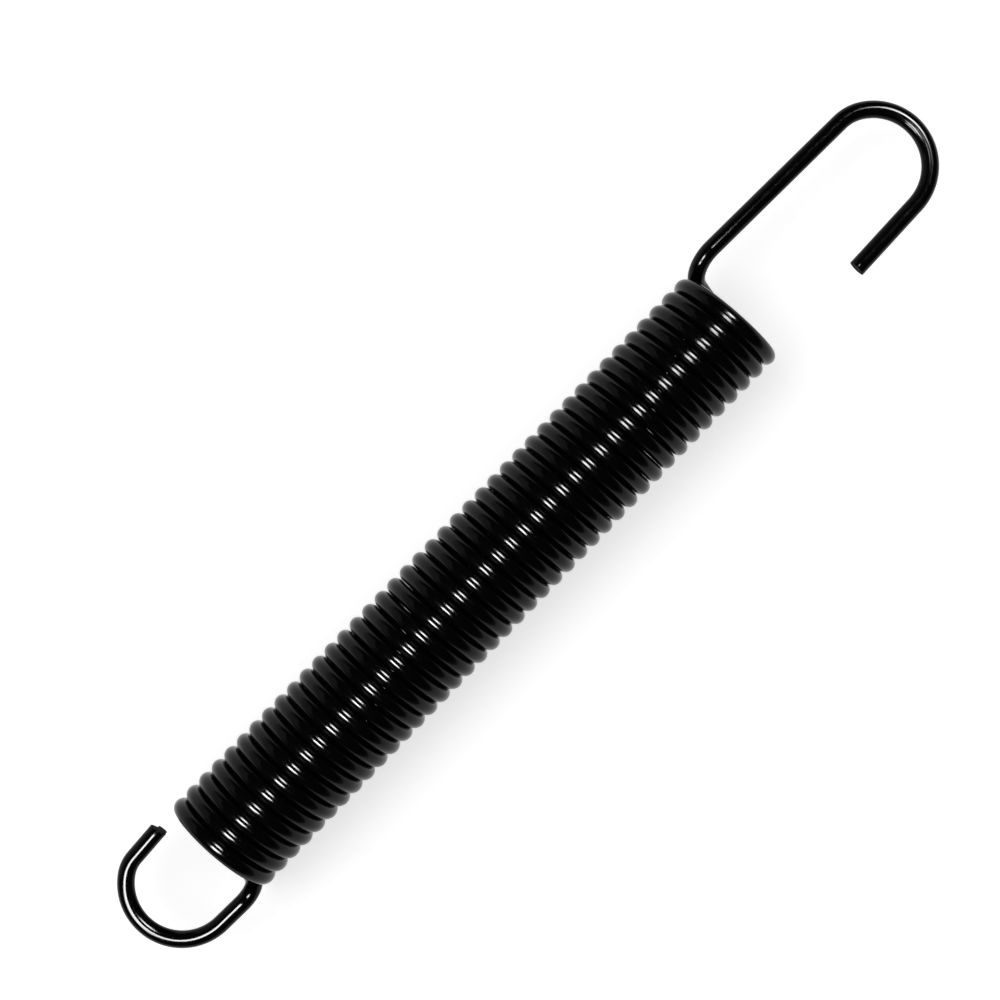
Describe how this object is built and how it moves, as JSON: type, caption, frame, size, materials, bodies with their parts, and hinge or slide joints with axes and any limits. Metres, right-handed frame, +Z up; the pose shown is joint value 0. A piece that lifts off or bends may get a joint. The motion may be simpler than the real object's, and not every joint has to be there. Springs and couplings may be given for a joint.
{
  "type": "extension spring",
  "caption": "Close-wound extension spring of glossy black-coated steel wire, ending in a long open hook and a short open hook.",
  "frame": {"origin": "on the surface that the coil lies on, under the coil's axis, midway between the outer ends of the two hooks", "axes": "+X along the coil towards the long hook, +Y to the long hook's leg, +Z up from the surface"},
  "size_m": [0.1902, 0.023, 0.0211],
  "materials": {
    "coated_wire": "glossy black electrocoat over spring steel"
  },
  "bodies": {
    "root": {"spring_wire": "coated_wire"}
  },
  "joints": []
}
